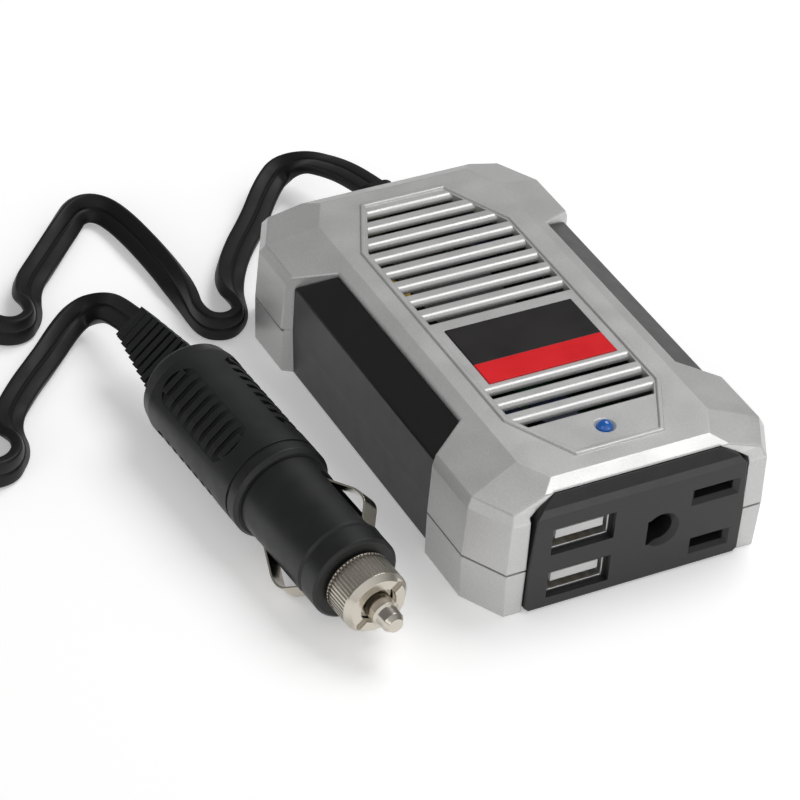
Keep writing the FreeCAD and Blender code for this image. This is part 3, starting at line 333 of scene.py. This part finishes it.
def smooth_line(points):
    """Return points along the smooth line that the control points pull."""
    curve = bpy.data.curves.new("route", "CURVE")
    curve.dimensions = "3D"
    spline = curve.splines.new("NURBS")
    spline.points.add(len(points) - 1)
    for place, point in zip(spline.points, points):
        place.co = (point[0] * MM, point[1] * MM, point[2] * MM, 1)
    spline.order_u = ROUTE_ORDER
    spline.use_endpoint_u = True
    spline.resolution_u = SAMPLES
    holder = bpy.data.objects.new("route", curve)
    line = bpy.data.meshes.new_from_object(holder)
    found = [line.vertices[0].co.copy()]
    for vertex in line.vertices:
        if (vertex.co - found[-1]).length > SHORTEST_STEP * MM:
            found.append(vertex.co.copy())
    bpy.data.objects.remove(holder)
    bpy.data.curves.remove(curve)
    bpy.data.meshes.remove(line)
    return found


def rounded(value):
    """Return a sine or cosine pushed outwards, which makes a circle into a rounded square."""
    return math.copysign(abs(value) ** SQUARENESS, value)


def groove_section():
    """Return the ribbon's outline: two rounded-square cores side by side with a groove between them."""
    points = []
    for side, turn in ((1, 0), (-1, 180)):
        for step in range(-OUTLINE_REACH, OUTLINE_REACH + 1, OUTLINE_STEP):
            angle = math.radians(step + turn)
            across = side * LOBE + LOBE * rounded(math.cos(angle))
            points.append((across, HALF_THICK * rounded(math.sin(angle))))
    return points


def sweep(name, line, leans, outline):
    """Return a mesh object of the outline carried along the line, its first axis leaned from upright."""
    mesh = bpy.data.meshes.new(name)
    verts = []
    faces = []
    count = len(outline)
    last = len(line) - 1
    for i, point in enumerate(line):
        ahead = (line[min(i + 1, last)] - line[max(i - 1, 0)]).normalized()
        side = ahead.cross(Vector((0, 0, 1))).normalized()
        up = side.cross(ahead).normalized()
        lean = math.radians(leans[i])
        wide = up * math.cos(lean) + side * math.sin(lean)
        thick = wide.cross(ahead)
        for across, deep in outline:
            verts.append(point + wide * (across * MM) + thick * (deep * MM))
    for i in range(last):
        for k in range(count):
            a = i * count + k
            b = i * count + (k + 1) % count
            faces.append((a, b, b + count, a + count))
    faces.append(tuple(reversed(range(count))))
    faces.append(tuple(range(last * count, last * count + count)))
    mesh.from_pydata(verts, [], faces)
    mesh.update()
    for face in mesh.polygons:
        face.use_smooth = len(face.vertices) == 4
    piece = bpy.data.objects.new(name, mesh)
    bpy.context.scene.collection.objects.link(piece)
    return piece


def spread_leans(points, line):
    """Return the ribbon's lean at each point of the line, read from its control points."""
    leans = []
    last = len(points) - 1
    for i in range(len(line)):
        place = i / (len(line) - 1) * last
        low = min(int(place), last - 1)
        part = place - low
        leans.append(points[low][3] * (1 - part) + points[low + 1][3] * part)
    return leans


def lay_on_floor(line, leans):
    """Raise the line's points so that the leaned ribbon nowhere dips below the floor."""
    for point, lean in zip(line, leans):
        angle = math.radians(lean)
        reach = abs(2 * LOBE * math.cos(angle)) + abs(HALF_THICK * math.sin(angle))
        point.z = max(point.z, (reach + FLOOR_GAP) * MM)


def make_cord():
    """Make the whole cord as one ribbon from the gland to the plug's boot."""
    points = route_points()
    line = smooth_line(points)
    leans = spread_leans(points, line)
    lay_on_floor(line, leans)
    cord = sweep("flat_cord", line, leans, groove_section())
    cord.data.materials.append(MATERIALS["cord_jacket"])
    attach(cord, "inverter")
    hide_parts("power_cord", "plug_cord", "cord_coil")
    tie = make_tie()


def tie_loop(middle, half_x, top):
    """Return points round the inside of the tie, a rectangle with round corners seen from the front."""
    corner = TIE_CORNER * MM
    across = half_x - corner
    upper = top - corner
    lower = corner + TIE_BOTTOM * MM
    loop = []
    corners = ((across, upper, 0), (-across, upper, 90), (-across, lower, 180), (across, lower, 270))
    for cx, cz, first in corners:
        for step in range(0, QUARTER_TURN + 1, TIE_ARC_STEP):
            angle = math.radians(first + step)
            x = middle.x + cx + corner * math.cos(angle)
            loop.append(Vector((x, middle.y, cz + corner * math.sin(angle))))
    return loop


def make_tie():
    """Make the hook-and-loop strip that wraps the coil, as one closed band."""
    low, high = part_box("cord_tie")
    middle = (Vector(low) + Vector(high)) / 2
    middle.x += TIE_SHIFT * MM
    half_x = (high[0] - low[0]) / 2 - TIE_END_INSET * MM
    top = high[2] - TIE_TOP_INSET * MM
    loop = tie_loop(middle, half_x, top)
    mesh = bpy.data.meshes.new("coil_tie")
    verts = []
    faces = []
    wide = TIE_HALF_WIDE * MM
    thick = TIE_THICK * MM
    centre = Vector((middle.x, middle.y, (top + TIE_BOTTOM * MM) / 2))
    for point in loop:
        out = (point - centre).normalized()
        for across, deep in ((-wide, 0), (wide, 0), (wide, thick), (-wide, thick)):
            verts.append(point + Vector((0, across, 0)) + out * deep)
    for i in range(len(loop)):
        j = (i + 1) % len(loop)
        for k in range(4):
            m = (k + 1) % 4
            faces.append((4 * i + k, 4 * i + m, 4 * j + m, 4 * j + k))
    mesh.from_pydata(verts, [], faces)
    mesh.update()
    tie = bpy.data.objects.new("coil_tie", mesh)
    bpy.context.scene.collection.objects.link(tie)
    mesh.materials.append(MATERIALS["tie_weave"])
    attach(tie, "inverter")
    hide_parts("cord_tie")
    return tie


def make_camera():
    """Place the camera."""
    data = bpy.data.cameras.new("camera")
    data.lens = CAMERA_LENS
    data.sensor_width = SENSOR
    data.clip_start = CAMERA_NEAREST
    camera = bpy.data.objects.new("camera", data)
    bpy.context.scene.collection.objects.link(camera)
    turn = math.radians(CAMERA_AZIMUTH)
    drop = math.radians(CAMERA_ELEVATION)
    roll = math.radians(CAMERA_ROLL)
    ahead = Vector((-math.sin(turn) * math.cos(drop), math.cos(turn) * math.cos(drop), -math.sin(drop)))
    right = Vector((math.cos(turn), math.sin(turn), 0))
    down = ahead.cross(right)
    tilted_right = right * math.cos(roll) + down * math.sin(roll)
    tilted_down = down * math.cos(roll) - right * math.sin(roll)
    turned = Matrix((tilted_right, -tilted_down, -ahead)).transposed()
    camera.matrix_world = Matrix.Translation(CAMERA_PLACE) @ turned.to_4x4()
    bpy.context.scene.camera = camera


def area_light(name, place, target, size, power):
    """Add one soft light that points at the target."""
    data = bpy.data.lights.new(name, "AREA")
    data.size = size
    data.energy = power
    light = bpy.data.objects.new(name, data)
    bpy.context.scene.collection.objects.link(light)
    light.location = place
    light.rotation_euler = (Vector(target) - Vector(place)).to_track_quat("-Z", "Y").to_euler()


def surroundings():
    """Return surroundings that are bright in front of the case and dim behind it."""
    world = bpy.data.worlds.new("studio")
    world.use_nodes = True
    tree = world.node_tree
    place = tree.nodes.new("ShaderNodeTexCoord")
    parts = tree.nodes.new("ShaderNodeSeparateXYZ")
    fade = tree.nodes.new("ShaderNodeMapRange")
    fade.inputs["From Min"].default_value = FADE_START
    fade.inputs["From Max"].default_value = FADE_END
    fade.inputs["To Min"].default_value = WORLD_FRONT
    fade.inputs["To Max"].default_value = WORLD_REAR
    tree.links.new(place.outputs["Generated"], parts.inputs["Vector"])
    tree.links.new(parts.outputs["Y"], fade.inputs["Value"])
    tree.links.new(fade.outputs["Result"], tree.nodes["Background"].inputs["Strength"])
    tree.nodes["Background"].inputs["Color"].default_value = (1, 1, 1, 1)
    return world


def make_floor():
    """Add the pale floor that the part stands on."""
    mesh = bpy.data.meshes.new("floor")
    corners = [(x * FLOOR_REACH, y * FLOOR_REACH, 0) for x, y in ((-1, -1), (1, -1), (1, 1), (-1, 1))]
    mesh.from_pydata(corners, [], [(0, 1, 2, 3)])
    floor = bpy.data.objects.new("floor", mesh)
    bpy.context.scene.collection.objects.link(floor)
    floor.location.z = -FLOOR_DROP
    material = bpy.data.materials.new("floor")
    shader = nodes_of(material)[1]
    shader.inputs["Base Color"].default_value = FLOOR_COLOR
    shader.inputs["Roughness"].default_value = FLOOR_ROUGHNESS
    shader.inputs["Emission Color"].default_value = (1, 1, 1, 1)
    shader.inputs["Emission Strength"].default_value = FLOOR_GLOW
    mesh.materials.append(material)


def make_studio(low, high):
    """Add the floor, the surroundings and the soft lights."""
    middle = ((low[0] + high[0]) / 2, (low[1] + high[1]) / 2, 0)
    make_floor()
    bpy.context.scene.world = surroundings()
    area_light("key", **KEY_LIGHT)
    area_light("left", target=middle, **LEFT_LIGHT)
    area_light("front", **FRONT_LIGHT)


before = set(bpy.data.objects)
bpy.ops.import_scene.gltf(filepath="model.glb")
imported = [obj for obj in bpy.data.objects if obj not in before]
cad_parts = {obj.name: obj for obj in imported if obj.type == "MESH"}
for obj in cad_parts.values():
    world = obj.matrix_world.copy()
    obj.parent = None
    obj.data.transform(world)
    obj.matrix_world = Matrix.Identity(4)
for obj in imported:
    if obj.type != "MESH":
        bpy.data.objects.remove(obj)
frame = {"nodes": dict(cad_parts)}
cad_low, cad_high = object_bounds()
bpy.context.scene.view_settings.view_transform = "Standard"
make_materials()
dress_nodes(frame)
make_camera()
make_cord()
make_studio(cad_low, cad_high)
